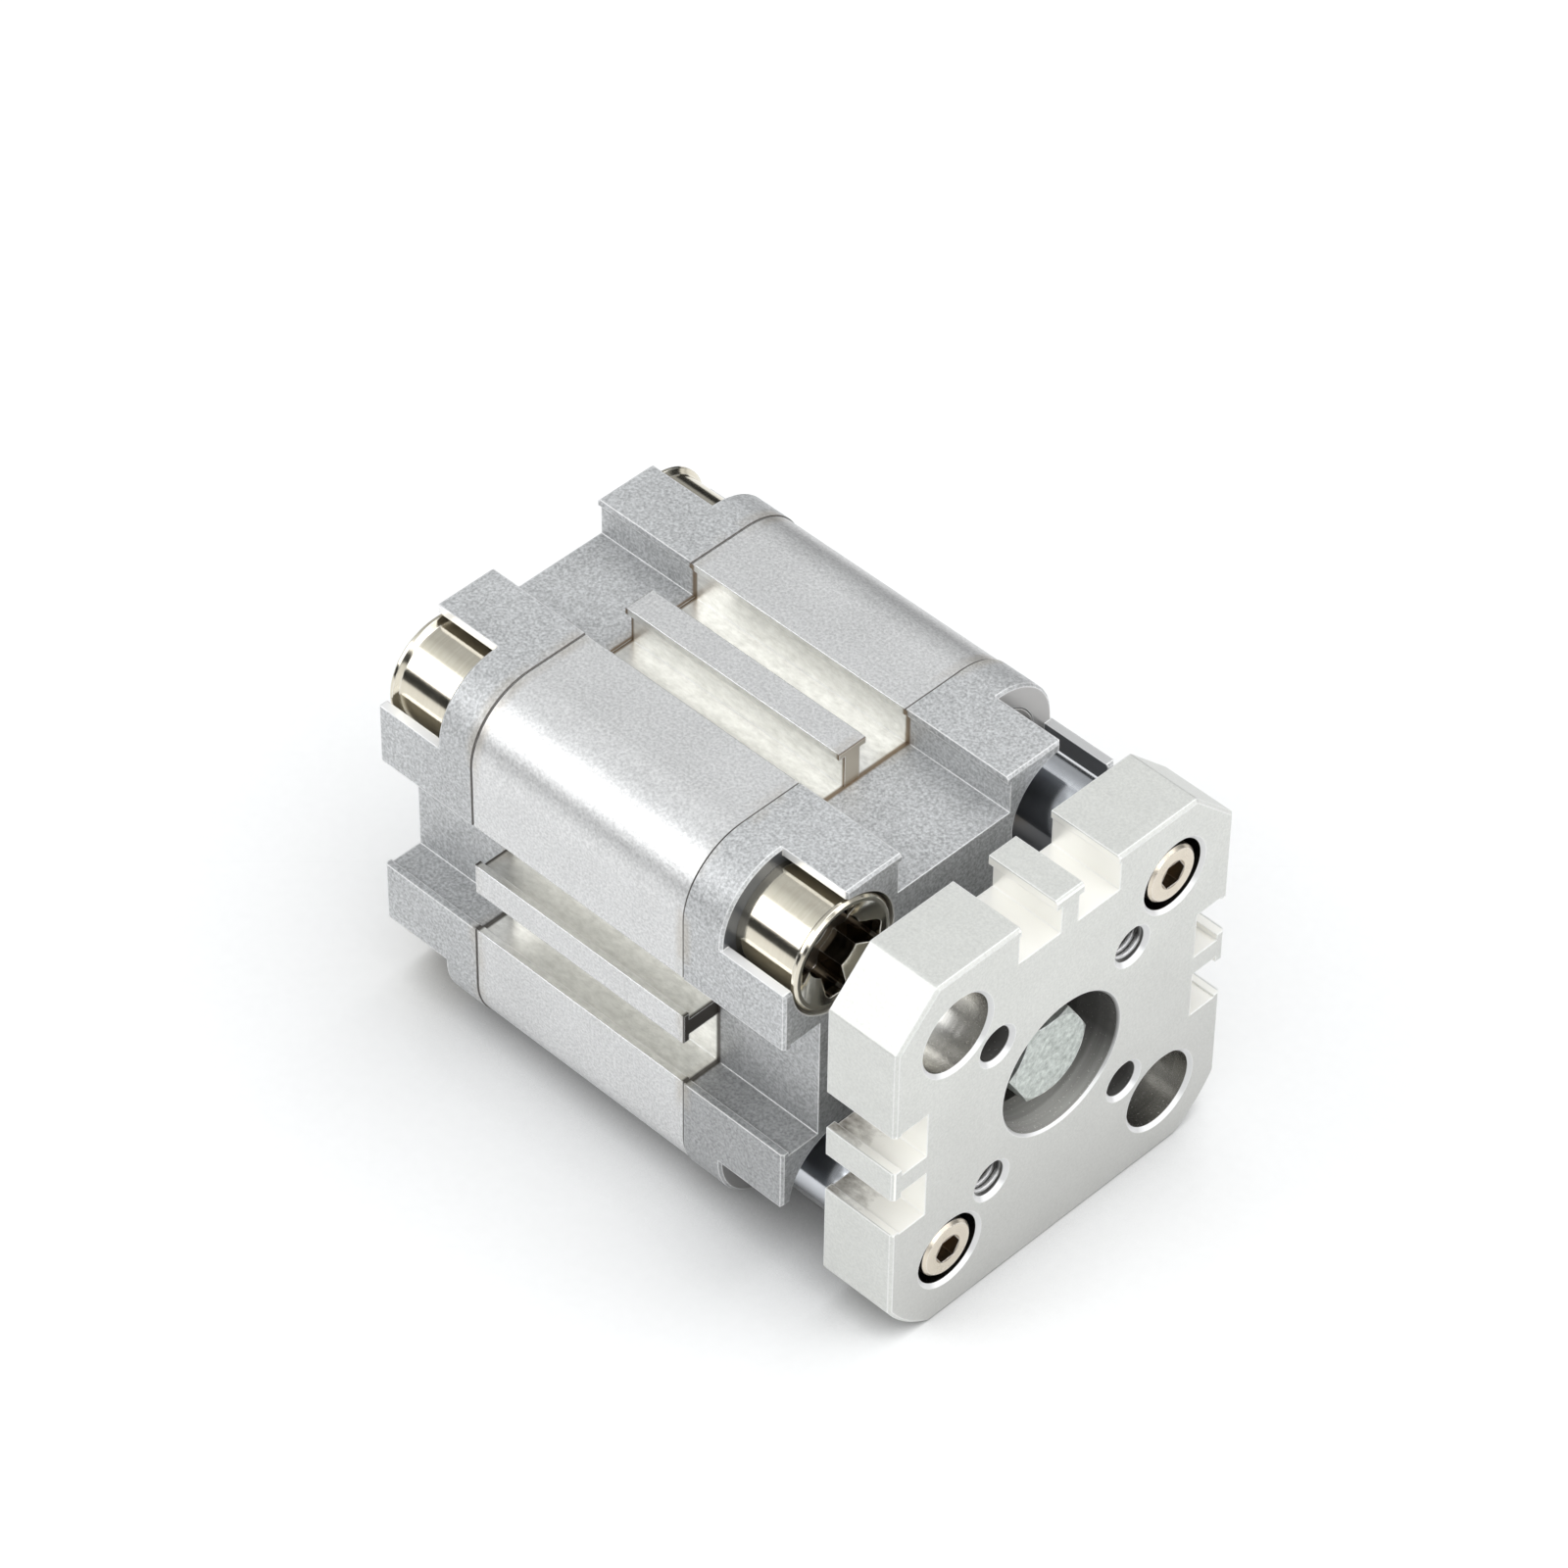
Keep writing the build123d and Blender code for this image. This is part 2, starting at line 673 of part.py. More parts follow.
def make_parts():
    """Every piece of the cylinder, by name."""
    parts = {
        "end_cap": make_end_cap(),
        "barrel": make_barrel(),
        "bearing_cap": make_bearing_cap(),
        "end_cap_seal_ring": make_oring(rear_seam_x, 1),
        "bearing_cap_seal_ring": make_oring(front_seam_x, -1),
        "rear_bumper": make_bumper(rear_spigot_x, 1),
        "front_bumper": make_bumper(front_spigot_x, -1),
        "rod_bush": make_rod_bush(),
        "rod_seal": make_rod_seal(),
        "piston": make_piston(),
        "piston_seal_rear": make_piston_seal(piston_grooves()[0]),
        "piston_seal_front": make_piston_seal(piston_grooves()[2]),
        "piston_magnet": make_piston_magnet(),
        "piston_nut": make_piston_nut(),
        "piston_rod": make_piston_rod(),
        "front_plate": make_front_plate(),
        "plate_bolt": make_plate_bolt(),
    }
    for name in corner_signs:
        parts["collar_nut_rear_" + name] = make_collar_nut(name)
    for name in through_corners:
        parts["collar_nut_front_" + name] = make_front_collar_nut(name)
        parts["tie_tube_" + name] = make_tie_tube(name)
    front_bush_x = front_pocket_x - guide_bush_recess
    rear_bush_x = front_bush_x - guide_bush_length - guide_bush_gap
    for name in guide_corners:
        parts["guide_tube_" + name] = make_guide_tube(name)
        parts["guide_bush_front_" + name] = make_guide_bush(name, front_bush_x)
        parts["guide_bush_rear_" + name] = make_guide_bush(name, rear_bush_x)
        parts["guide_rod_" + name] = make_guide_rod(name)
        parts["guide_screw_" + name] = make_guide_screw(name)
    return parts


os.makedirs("parts", exist_ok=True)
for node, solid in make_parts().items():
    export_step(solid, "parts/" + node + ".step")
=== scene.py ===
# %% [markdown]
# # A guided compact pneumatic cylinder
#
# Compressed air pushes a piston in a square aluminium body. The piston rod and two guide rods
# carry a front plate, which therefore can't turn. The solids come from the CAD model. This
# notebook gives them their finishes, adds the threads, and sets up the camera, the lights and
# the floor. Blender's own lengths are metres. Patterns and threads are worked out in
# millimetres, and `MM` is one millimetre in metres.

import json
import math

import bpy
import numpy as np
from mathutils import Matrix, Vector


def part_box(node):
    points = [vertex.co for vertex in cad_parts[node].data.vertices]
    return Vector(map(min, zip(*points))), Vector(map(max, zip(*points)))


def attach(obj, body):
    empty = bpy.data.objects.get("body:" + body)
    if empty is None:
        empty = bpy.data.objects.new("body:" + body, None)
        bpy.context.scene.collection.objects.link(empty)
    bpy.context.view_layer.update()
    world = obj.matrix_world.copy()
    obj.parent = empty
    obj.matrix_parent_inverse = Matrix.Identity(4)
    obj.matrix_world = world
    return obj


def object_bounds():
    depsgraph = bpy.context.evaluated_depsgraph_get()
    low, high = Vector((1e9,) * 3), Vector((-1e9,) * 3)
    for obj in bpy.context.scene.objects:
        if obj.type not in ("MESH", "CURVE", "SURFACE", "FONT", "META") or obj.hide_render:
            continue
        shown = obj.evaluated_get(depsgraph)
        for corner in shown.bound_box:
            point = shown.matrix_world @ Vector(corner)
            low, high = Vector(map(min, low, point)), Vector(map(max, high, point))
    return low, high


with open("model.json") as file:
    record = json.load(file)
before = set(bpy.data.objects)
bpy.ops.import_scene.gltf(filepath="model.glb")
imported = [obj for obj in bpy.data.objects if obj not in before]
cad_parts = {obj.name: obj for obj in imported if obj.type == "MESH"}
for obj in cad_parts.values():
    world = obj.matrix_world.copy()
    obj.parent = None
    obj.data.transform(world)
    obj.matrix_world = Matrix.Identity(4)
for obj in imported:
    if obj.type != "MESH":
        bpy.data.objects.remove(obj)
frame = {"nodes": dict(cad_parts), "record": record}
cad_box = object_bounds()
nodes = frame["nodes"]
MM = 0.001


def in_mm(box):
    """The two corners of a box in millimetres, rounded for printing."""
    return [[round(value / MM, 2) for value in corner] for corner in box]


print(len(nodes), "solids in the box", in_mm(cad_box))

# %% [markdown]
# ## Camera
#
# The camera looks down at the front plate from the left, at about 44 degrees both ways. Its
# place was worked out from the hole centres and edges of the photograph: a long lens, 0.69 m
# away. The camera could be turned with angles, but three vectors written out (sight line,
# right and up) leave no doubt about the roll.

# %% Camera
AZIMUTH = math.radians(44.26)
ELEVATION = math.radians(44.13)
ROLL = math.radians(0.793)
DISTANCE = 0.6941
SIDE_STEP = -0.00851
RISE = 0.01474
AIM = Vector((0.04795, 0.0, 0.0))
FOCAL_IN_PIXELS = 6768.1
PHOTO_WIDTH = 1600

sight = Vector((
    math.sin(AZIMUTH) * math.cos(ELEVATION),
    -math.cos(AZIMUTH) * math.cos(ELEVATION),
    math.sin(ELEVATION),
))
level_right = Vector((math.cos(AZIMUTH), math.sin(AZIMUTH), 0.0))
level_up = sight.cross(level_right)
camera_right = level_right * math.cos(ROLL) + level_up * math.sin(ROLL)
camera_up = level_up * math.cos(ROLL) - level_right * math.sin(ROLL)
camera_place = AIM + sight * DISTANCE + camera_right * SIDE_STEP + camera_up * RISE

camera_data = bpy.data.cameras.new("camera")
camera_data.sensor_width = 36.0
camera_data.lens = FOCAL_IN_PIXELS * camera_data.sensor_width / PHOTO_WIDTH
camera_data.clip_start = 0.01
camera_data.clip_end = 50.0
camera = bpy.data.objects.new("camera", camera_data)
turn = Matrix((camera_right, camera_up, sight)).transposed().to_4x4()
camera.matrix_world = Matrix.Translation(camera_place) @ turn
bpy.context.scene.collection.objects.link(camera)
bpy.context.scene.camera = camera
bpy.context.scene.view_settings.view_transform = "Standard"
print("camera at", tuple(round(v, 4) for v in camera_place), "lens", round(camera_data.lens, 1))

# %% [markdown]
# ## Shader maths as Python
#
# A finish is easier to read as `grain * 0.2 + 0.4` than as a web of boxes. `Wire` wraps the
# output socket of a node, and each operator on it adds one Math node. `Finish` holds the node
# tree of a material or of the world, and its one method `add` makes any other node.

# %% Wire
class Wire:
    """An output socket whose arithmetic adds Math nodes."""

    def __init__(self, tree, socket):
        self.tree = tree
        self.socket = socket

    def maths(self, operation, first, second=0.0):
        node = self.tree.nodes.new("ShaderNodeMath")
        node.operation = operation
        for index, value in enumerate((first, second)):
            plug(self.tree, node.inputs[index], value)
        return Wire(self.tree, node.outputs[0])

    def __add__(self, other):
        return self.maths("ADD", self, other)

    __radd__ = __add__

    def __sub__(self, other):
        return self.maths("SUBTRACT", self, other)

    def __rsub__(self, other):
        return self.maths("SUBTRACT", other, self)

    def __mul__(self, other):
        return self.maths("MULTIPLY", self, other)

    __rmul__ = __mul__

    def __truediv__(self, other):
        return self.maths("DIVIDE", self, other)

    def __pow__(self, other):
        return self.maths("POWER", self, other)

    def __abs__(self):
        return self.maths("ABSOLUTE", self)

    def sign(self):
        return self.maths("SIGN", self)

    def larger(self, other):
        return self.maths("MAXIMUM", self, other)

    def smaller(self, other):
        return self.maths("MINIMUM", self, other)


def plug(tree, socket, value):
    """Links a Wire to an input socket, or sets the socket's own value."""
    if isinstance(value, Wire):
        tree.links.new(value.socket, socket)
    else:
        socket.default_value = value


print("Wire is ready")

# %% Finish
class Finish:
    """The node tree of a material or of the world."""

    def __init__(self, owner):
        self.owner = owner
        owner.use_nodes = True
        self.tree = owner.node_tree
        self.tree.nodes.clear()

    def add(self, kind, inputs=None, output=0, **settings):
        """Adds a node: settings first, then values or links of its sockets."""
        node = self.tree.nodes.new("ShaderNode" + kind)
        for key, value in settings.items():
            setattr(node, key, value)
        for key, value in (inputs or {}).items():
            plug(self.tree, node.inputs[key], value)
        return Wire(self.tree, node.outputs[output]) if len(node.outputs) else None

    def parts(self, vector):
        """The three components of a vector."""
        return [self.add("SeparateXYZ", {0: vector}, output=index) for index in range(3)]

    def step(self, value, start, end):
        """0 up to start, 1 from end on, straight between them. The start may be the larger."""
        return self.add("MapRange", {"Value": value, "From Min": start, "From Max": end})

    def blend(self, factor, low, high):
        """Colour that goes from low to high as the factor goes from 0 to 1."""
        return self.add("Mix", {0: factor, 6: low, 7: high}, output=2, data_type="RGBA")

    def surface(self, **sockets):
        """Ends the tree with a Principled shader. Socket names use _ for spaces."""
        inputs = {key.replace("_", " ").title(): value for key, value in sockets.items()}
        shader = self.add("BsdfPrincipled", inputs)
        self.add("OutputMaterial", {0: shader})
        return self.owner


def grey(level, warmth=0.0):
    """Linear grey with a little warmth: more red, less blue."""
    return (level * (1 + warmth), level, level * (1 - warmth), 1.0)


print("a warm grey is", grey(0.5, 0.02))

# %% [markdown]
# ## Patterns shared by the finishes
#
# Metal is never one flat grey. Photographs wrapped round the solids could bring the variation,
# but they need unwrapped surfaces and bring seams, so everything here is worked out from place.
# Every solid sits at the origin, so Object coordinates are metres in the cylinder's own frame.
# They are turned into millimetres once, and each noise states how many features it has per
# millimetre. The edge mask compares the surface's normal with one rounded by the Bevel node:
# they differ only near an edge. The finishes lighten the colour there, partly as metal rubbed
# bright by handling and partly as a painted highlight on the rounded edge.

# %% Place, noise and masks
BEVEL_SAMPLES = 6


def millimetres(finish):
    """Object coordinates in millimetres."""
    place = finish.add("TexCoord", output=3)
    return finish.add("Mapping", {"Vector": place, "Scale": (1 / MM, 1 / MM, 1 / MM)})


def noise(finish, place, per_mm, detail=2.0, roughness=0.5):
    """Soft noise from 0 to 1 with a number of features per millimetre."""
    inputs = {"Vector": place, "Scale": per_mm, "Detail": detail, "Roughness": roughness}
    return finish.add("TexNoise", inputs)


def surface_normal(finish):
    """Normal of the surface before any bump."""
    return finish.add("NewGeometry", output=1)


def end_faces(finish):
    """1 on faces square to the cylinder's axis, 0 on those that run along it."""
    return finish.step(abs(finish.parts(surface_normal(finish))[0]), 0.85, 0.95)


def edge_mask(finish, radius):
    """1 on edges, 0 away from them, from the angle between rounded and flat normal."""
    rounded = finish.add("Bevel", {"Radius": radius * MM}, samples=BEVEL_SAMPLES)
    inputs = {0: rounded, 1: surface_normal(finish)}
    cosine = finish.add("VectorMath", inputs, output=1, operation="DOT_PRODUCT")
    return finish.step(1.0 - cosine, 0.0, 0.08)


def joined(finish, first, second):
    """Two masks as one, never above 1."""
    return finish.add("Math", {0: first, 1: second}, operation="ADD", use_clamp=True)


print("masks go from 0 to 1")

# %% Round holes and bumps
RINGS_PER_MM = 9.0
EDGE_ROUNDING = 0.16


def from_axis(y, z, corner):
    """Place relative to the nearest of four axes along X at |y| = |z| = corner."""
    return y - y.sign() * corner, z - z.sign() * corner


def corner_distance(y, z, corner):
    """Distance from the nearest of four axes along X at |y| = |z| = corner."""
    across = abs(y) - corner
    upright = abs(z) - corner
    return (across * across + upright * upright) ** 0.5


def low_side(y, z, corner):
    """1 at the lowest point round a hole's axis, leaning a little to +Y, and -1 opposite."""
    across, upright = from_axis(y, z, corner)
    return (across * 0.15 - upright) / (across * across + upright * upright) ** 0.5


def round_normal(finish, y, z, corner, slope):
    """Normal of a hole's round wall, tilted along the axis by a slope.

    From a point at (dy, dz) off the axis, at distance r, it points along (slope r, -dy, -dz).
    """
    across, upright = from_axis(y, z, corner)
    radius = (across * across + upright * upright) ** 0.5
    line = finish.add("CombineXYZ", {0: radius * slope, 1: 0.0 - across, 2: 0.0 - upright})
    return finish.add("VectorMath", {0: line}, operation="NORMALIZE")


def bend(finish, factor, low, high):
    """Normal that goes from low to high as the factor goes from 0 to 1."""
    return finish.add("Mix", {0: factor, 4: low, 5: high}, output=1, data_type="VECTOR")


def rings(finish, x, radius):
    """Turning marks: noise that depends only on x and on the distance from an axis."""
    line = finish.add("CombineXYZ", {0: radius, 1: x})
    return noise(finish, line, RINGS_PER_MM, 1.0)


def relief(finish, height, depth):
    """Normal for a height pattern of a given depth, on edges rounded a little."""
    rounded = finish.add("Bevel", {"Radius": EDGE_ROUNDING * MM}, samples=BEVEL_SAMPLES)
    return finish.add("Bump", {"Distance": depth * MM, "Height": height, "Normal": rounded})


print("rings and edges:", RINGS_PER_MM, "per mm,", EDGE_ROUNDING, "mm")

# %% [markdown]
# ## Sizes that the finishes follow
#
# A finish that changes at a joint or in a hole has to know where that is. Vertices could be
# painted or faces picked by hand, but both would be lost with the next version of the CAD
# model. So the places are read from the boxes of the solids, and only what no box tells is
# written as a number.

# %% Sizes in millimetres
def ends(name):
    """Where a solid starts and ends along X."""
    low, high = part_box(name)
    return low.x / MM, high.x / MM


barrel_rear, barrel_front = ends("barrel")
plate_back, plate_front = ends("front_plate")
tube_rear, tube_front = ends("tie_tube_upper_left")
cap_front = ends("bearing_cap")[1]
body_middle = cap_front / 2
body_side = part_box("end_cap")[1].z / MM
plate_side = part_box("front_plate")[1].z / MM
hole_corner = sum(corner.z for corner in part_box("tie_tube_upper_left")) / 2 / MM

# What no box tells
channel_half_width = 8.25
pocket_floor = body_middle - ends("collar_nut_rear_upper_left")[1]
pocket_radius = 7.3
pocket_side = hole_corner - 0.34
notch_half_width = 7.45
notch_floor = plate_side - 4.8
bore_radius = 8.5
bore_floor = plate_front - 5.6
access_radius = 4.7
counterbore_radius = 4.25
small_hole_radius = 2.1
small_hole_corner = 10.0
print("barrel from", round(barrel_rear, 2), "to", round(barrel_front, 2), "mm")
print("plate from", round(plate_back, 2), "to", round(plate_front, 2), "mm")
print("corner holes at", round(hole_corner, 2), "mm")

# %% [markdown]
# ## Caps and barrel: blasted and clear anodised aluminium
#
# Both caps and the barrel are blasted with fine grit and anodised. Up close the surface is
# grainy, with light and dark specks a third of a millimetre across. Colour and bump could come
# from separate patterns, but one noise drives colour, roughness and bump together, so that a
# pit is dark, dull and deep at once. The caps are castings and duller than the barrel, so less
# of their shade is a mirror image. The joint between cap and barrel collects dirt, as a thin
# dark line that widens in the sensor slots, where the wider part is painted shade. Low on the
# left of the bearing cap, the colour is darkened as painted shade.

# %% Joints and channels of the body
SOOT = (0.045, 0.036, 0.028, 1.0)
RUST = (0.17, 0.11, 0.055, 1.0)
STAIN = (0.42, 0.36, 0.27, 1.0)


def seam_mask(finish, x, half_width):
    """1 within half a line width of the two joints of the barrel, but not on its end faces."""
    barrel_middle = (barrel_rear + barrel_front) / 2
    nearest = abs(abs(x - barrel_middle) - (barrel_front - barrel_rear) / 2)
    line = finish.step(nearest, half_width * 1.6, half_width * 0.7)
    return line * (1.0 - end_faces(finish))


def channel_mask(finish, y, z):
    """1 on faces sunk in the channels that run along the four sides."""
    outer = abs(y).larger(abs(z))
    inner = abs(y).smaller(abs(z))
    sunk = finish.step(outer, body_side - 0.18, body_side - 0.24)
    return sunk * finish.step(inner, channel_half_width + 0.20, channel_half_width + 0.10)


def painted_cap_shade(finish, x, y, z, colour):
    """Darker low on the left of the bearing cap: painted shade, where its ear and the plate shade
    it.
    """
    low_left_shade = finish.step(x, barrel_front, barrel_front + 0.3) * finish.step(z, 6.0, -8.0)
    return finish.blend(low_left_shade * finish.step(y, -12.0, -20.0) * 0.32, colour, grey(0.12))


def joint_stain(finish, x, clouds, colour):
    """Faint brown patches beside the joints."""
    stain = seam_mask(finish, x, 0.9) * finish.step(clouds, 0.45, 0.60)
    return finish.blend(stain * 0.35, colour, STAIN)


def joint_dirt_and_shade(finish, x, y, z, colour):
    """Dark line in the joints, rusty in the top channel, and in the channels widened by painted
    shade.
    """
    sunk = channel_mask(finish, y, z)
    # In the channels the dark line is widened by painted shade.
    seams = joined(finish, seam_mask(finish, x, 0.11), seam_mask(finish, x, 0.30) * sunk)
    dirt_and_shade = finish.blend(sunk * finish.step(z, 10.0, 14.0), SOOT, RUST)
    return finish.blend(seams * 0.9, colour, dirt_and_shade)


print("joints at", round(barrel_rear, 2), "and", round(barrel_front, 2), "mm")

# %% Blasted skin
finishes = {}


def blasted(name, dark, light, per_mm, depth, rough, metallic, tint=0.0, machined=None):
    """Grainy anodised aluminium with clouds, bright edges, dark joints and a stain beside them.

    machined is a function of the finish and x, y, z that gives a mask of faces without grain,
    and their colour and roughness.
    """
    finish = Finish(bpy.data.materials.new(name))
    place = millimetres(finish)
    x, y, z = finish.parts(place)
    grain = noise(finish, place, per_mm, 3.0, 0.65)
    clouds = noise(finish, place, 0.13, 3.0)
    edges = edge_mask(finish, 0.25) * (1.0 - seam_mask(finish, x, 0.4) * 0.8)
    tone = finish.step(grain, 0.34, 0.66) * 0.80 + clouds * 0.40 - 0.10
    colour = finish.blend(tone, grey(dark, tint), grey(light, tint))
    roughness = rough + grain * 0.12 - edges * 0.12
    if machined:
        mask, cut_colour, cut_roughness = machined(finish, x, y, z)
        colour = finish.blend(mask, colour, cut_colour)
        roughness = roughness + mask * (cut_roughness - roughness)
        grain = grain * (1.0 - mask * 0.85)
    colour = painted_cap_shade(finish, x, y, z, colour)
    colour = joint_stain(finish, x, clouds, colour)
    # Edges lightened: partly metal rubbed bright, partly a painted highlight.
    colour = finish.blend(edges * 0.9, colour, grey(0.99))
    colour = joint_dirt_and_shade(finish, x, y, z, colour)
    grainy = relief(finish, grain, depth)
    normal = bend(finish, seam_mask(finish, x, 0.4), grainy, surface_normal(finish))
    inputs = {"base_color": colour, "metallic": metallic, "roughness": roughness, "normal": normal}
    finishes[name] = finish.surface(**inputs)


blasted("piston", dark=0.55, light=0.75, per_mm=5.0, depth=0.008, rough=0.30, metallic=0.85)
print("blasted:", sorted(finishes))

# %% [markdown]
# ## Milled pockets and drawn slots
#
# The corner pockets are milled into the caps after the blasting, and the slots of the barrel
# keep the pale skin they had from the press. These faces belong to the same solids, so they
# can't have a material of their own without cutting the mesh. Instead each is found by its
# place, as a mask that swaps colour and roughness and flattens the grain.

# %% Machined faces
def pocket_light_and_shade(finish, y, z, bottom, side, guided):
    """Colours of a pocket: round wall, side faces and floor, darker beside the guide rods.

    All are painted light and shade. The round walls are dull above the nuts and bright below
    them, the side faces carry a painted highlight, and the floors carry painted shade, darkest
    where no guide rod sits.
    """
    below_axis = finish.step(z - z.sign() * hole_corner, 1.5, -1.5)
    wall = finish.blend(below_axis, (0.55, 0.52, 0.46, 1.0), (0.93, 0.90, 0.83, 1.0))
    wall = finish.blend(guided, wall, (0.25, 0.255, 0.265, 1.0))
    bright = finish.blend(guided, grey(0.97), grey(0.66))
    painted_floor_shade = finish.blend(guided, (0.13, 0.135, 0.145, 1.0), grey(0.44, 0.02))
    return finish.blend(bottom, finish.blend(side, wall, bright), painted_floor_shade)


def pocket_walls(finish, x, y, z):
    """Corner pockets of the caps. The guide rods have theirs in front, at y z > 0."""
    reach = abs(x - body_middle)
    radius = corner_distance(y, z, hole_corner)
    inside = finish.step(reach, pocket_floor + 0.02, pocket_floor + 0.06)
    bottom = finish.step(abs(reach - pocket_floor), 0.06, 0.03) * end_faces(finish)
    bottom = bottom * finish.step(radius, 9.0, 8.9)
    wall = finish.step(radius, pocket_radius + 0.12, pocket_radius + 0.06)
    side = finish.step(abs(abs(y).smaller(abs(z)) - pocket_side), 0.05, 0.03)
    guided = finish.step(y * z, -1.0, 1.0) * finish.step(x, 20.0, 21.0)
    mask = joined(finish, bottom, inside * joined(finish, wall, side))
    return mask, pocket_light_and_shade(finish, y, z, bottom, side, guided), 0.26


def slot_walls(finish, x, y, z):
    """Sensor slots of the barrel, as drawn from the press: smooth, pale and a little yellow.

    The saw-cut end faces of the ribs between the slots are beige on top, and painted dark as shade
    on their other sides.
    """
    end = end_faces(finish)
    stretched = finish.add("CombineXYZ", {0: x * 0.5, 1: y, 2: z})
    streaks = finish.step(noise(finish, stretched, 1.6, 4.0, 0.7), 0.30, 0.65)
    pale = finish.blend(streaks, (0.72, 0.715, 0.68, 1.0), (0.95, 0.945, 0.91, 1.0))
    upper = finish.step(z, 10.0, 14.0)
    # Painted shade on the end faces below the top, beige on the top.
    end_face_tone_and_shade = finish.blend(upper, (0.07, 0.062, 0.052, 1.0), (0.50, 0.45, 0.37, 1.0))
    return joined(finish, channel_mask(finish, y, z), end), finish.blend(end, pale, end_face_tone_and_shade), 0.30


blasted(
    "cap", dark=0.31, light=0.70, per_mm=3.0, depth=0.026, rough=0.38, metallic=0.42,
    tint=-0.012, machined=pocket_walls,
)
blasted(
    "barrel", dark=0.54, light=0.84, per_mm=3.0, depth=0.026, rough=0.31, metallic=0.70,
    machined=slot_walls,
)
print("blasted:", sorted(finishes))

# %% [markdown]
# ## Front plate
#
# The plate is smoother than the body: even satin with soft clouds and fine pits, and darker
# low on its front, as painted shade where it mirrors the shaded floor. The notches in its
# sides are milled, streaked and lighter towards the front. They are found by place, as the
# pockets of the caps are.

# %% Skin and notches of the plate
def plate_skin(finish, place, z, grain):
    """Satin colour with clouds and pits, and painted shade low on the front."""
    clouds = noise(finish, place, 0.16, 3.0)
    tone = clouds * 0.45 + finish.step(grain, 0.30, 0.70) * 0.55
    colour = finish.blend(tone, (0.56, 0.565, 0.54, 1.0), (0.74, 0.745, 0.715, 1.0))
    pits = finish.step(noise(finish, place, 1.1, 2.0), 0.30, 0.22)
    colour = finish.blend(pits * 0.35, colour, grey(0.50, 0.02))
    forward = finish.parts(surface_normal(finish))[0]
    # Painted shade low on the front face.
    painted_low_shade = finish.step(forward, 0.85, 0.95) * finish.step(z, 14.0, -24.0)
    return finish.blend(painted_low_shade * 0.48, colour, grey(0.36, 0.02))


def notch_faces(finish, x, y, z):
    """Mask and colour of the milled faces in the notches."""
    outer = abs(y).larger(abs(z))
    inner = abs(y).smaller(abs(z))
    mask = finish.step(outer, plate_side - 0.18, plate_side - 0.24)
    mask = mask * finish.step(outer, notch_floor - 0.12, notch_floor - 0.06)
    mask = mask * finish.step(inner, notch_half_width + 0.07, notch_half_width + 0.01)
    mask = mask * (1.0 - end_faces(finish))
    stretched = finish.add("CombineXYZ", {0: x * 0.6, 1: y, 2: z})
    mottle = noise(finish, stretched, 0.9, 4.0, 0.65)
    depth = finish.step(x, plate_back, plate_front) * 0.9 + finish.step(y, -10.0, 0.0) * 0.6
    cut = finish.step(mottle + depth, 0.42, 0.95)
    return mask, finish.blend(cut, (0.27, 0.25, 0.22, 1.0), (0.95, 0.94, 0.90, 1.0))


print("notches from", round(notch_floor, 2), "to", round(plate_side, 2), "mm")

# %% [markdown]
# ## Holes of the plate
#
# The holes are cut last, so their walls are bare and ringed by the tool, and each mouth has a
# polished bevel. Its white crescent, where the bevel catches the light, is a painted highlight.
# The solids are made of small flat facets, which would show as stripes in bare metal. Their
# meshes stay as they are, so on the walls the true round normal is worked out from the hole's
# axis. The painted crescent comes from the direction round that axis, because a bevel this
# narrow is only a few pixels wide.

# %% Hole walls and mouths
class PlateLook:
    """What the plate looks like, while one kind of hole after the other is added to it."""

    def __init__(self, finish, x, y, z, colour, normal, roughness):
        self.finish = finish
        self.x, self.y, self.z = x, y, z
        self.colour = colour
        self.normal = normal
        self.roughness = roughness
        self.mouths = 0.0
        self.below = finish.step(x, plate_front + 0.01, plate_front - 0.02)
        along = finish.add("CombineXYZ", {0: x, 1: 0.02 * y, 2: 0.02 * z})
        self.tool_rings = noise(finish, along, 2.6, 1.0)
        dark, light = (0.52, 0.51, 0.48, 1.0), (0.84, 0.83, 0.80, 1.0)
        self.bare = finish.blend(self.tool_rings, dark, light)

    def drill(self, corner, distance, radius, bevel, floor=0.0):
        """Adds the bare wall and the mouth of one kind of hole, the mouth with a painted
        highlight.

        corner places its axes, distance is how far a point is from them, bevel is the width
        of the mouth's bevel, and the wall starts at the floor.
        """
        finish = self.finish
        inside = self.below * finish.step(distance, radius + bevel + 0.02, radius + bevel)
        wall = inside * finish.step(distance, radius + 0.05, radius + 0.03)
        wall = wall * finish.step(self.x, floor - 0.02, floor)
        near_front = finish.step(self.x, plate_front - 0.7, plate_front - 0.6)
        mouth = inside * (1.0 - wall) * near_front
        # The crescent is a painted highlight on the low side of the mouth.
        painted_crescent = finish.step(low_side(self.y, self.z, corner), 0.72, 0.88)
        bright = finish.blend(painted_crescent, grey(0.70), grey(0.99))
        self.colour = finish.blend(mouth, finish.blend(wall, self.colour, self.bare), bright)
        slope = self.tool_rings * 0.16 - 0.08
        waved = round_normal(finish, self.y, self.z, corner, slope)
        self.normal = bend(finish, wall, self.normal, waved)
        self.roughness = self.roughness - wall * 0.10
        self.mouths = joined(finish, self.mouths, mouth)


print("hole radii:", bore_radius, access_radius, counterbore_radius, small_hole_radius)

# %% Plate
OUT_OF_REACH = 99.0


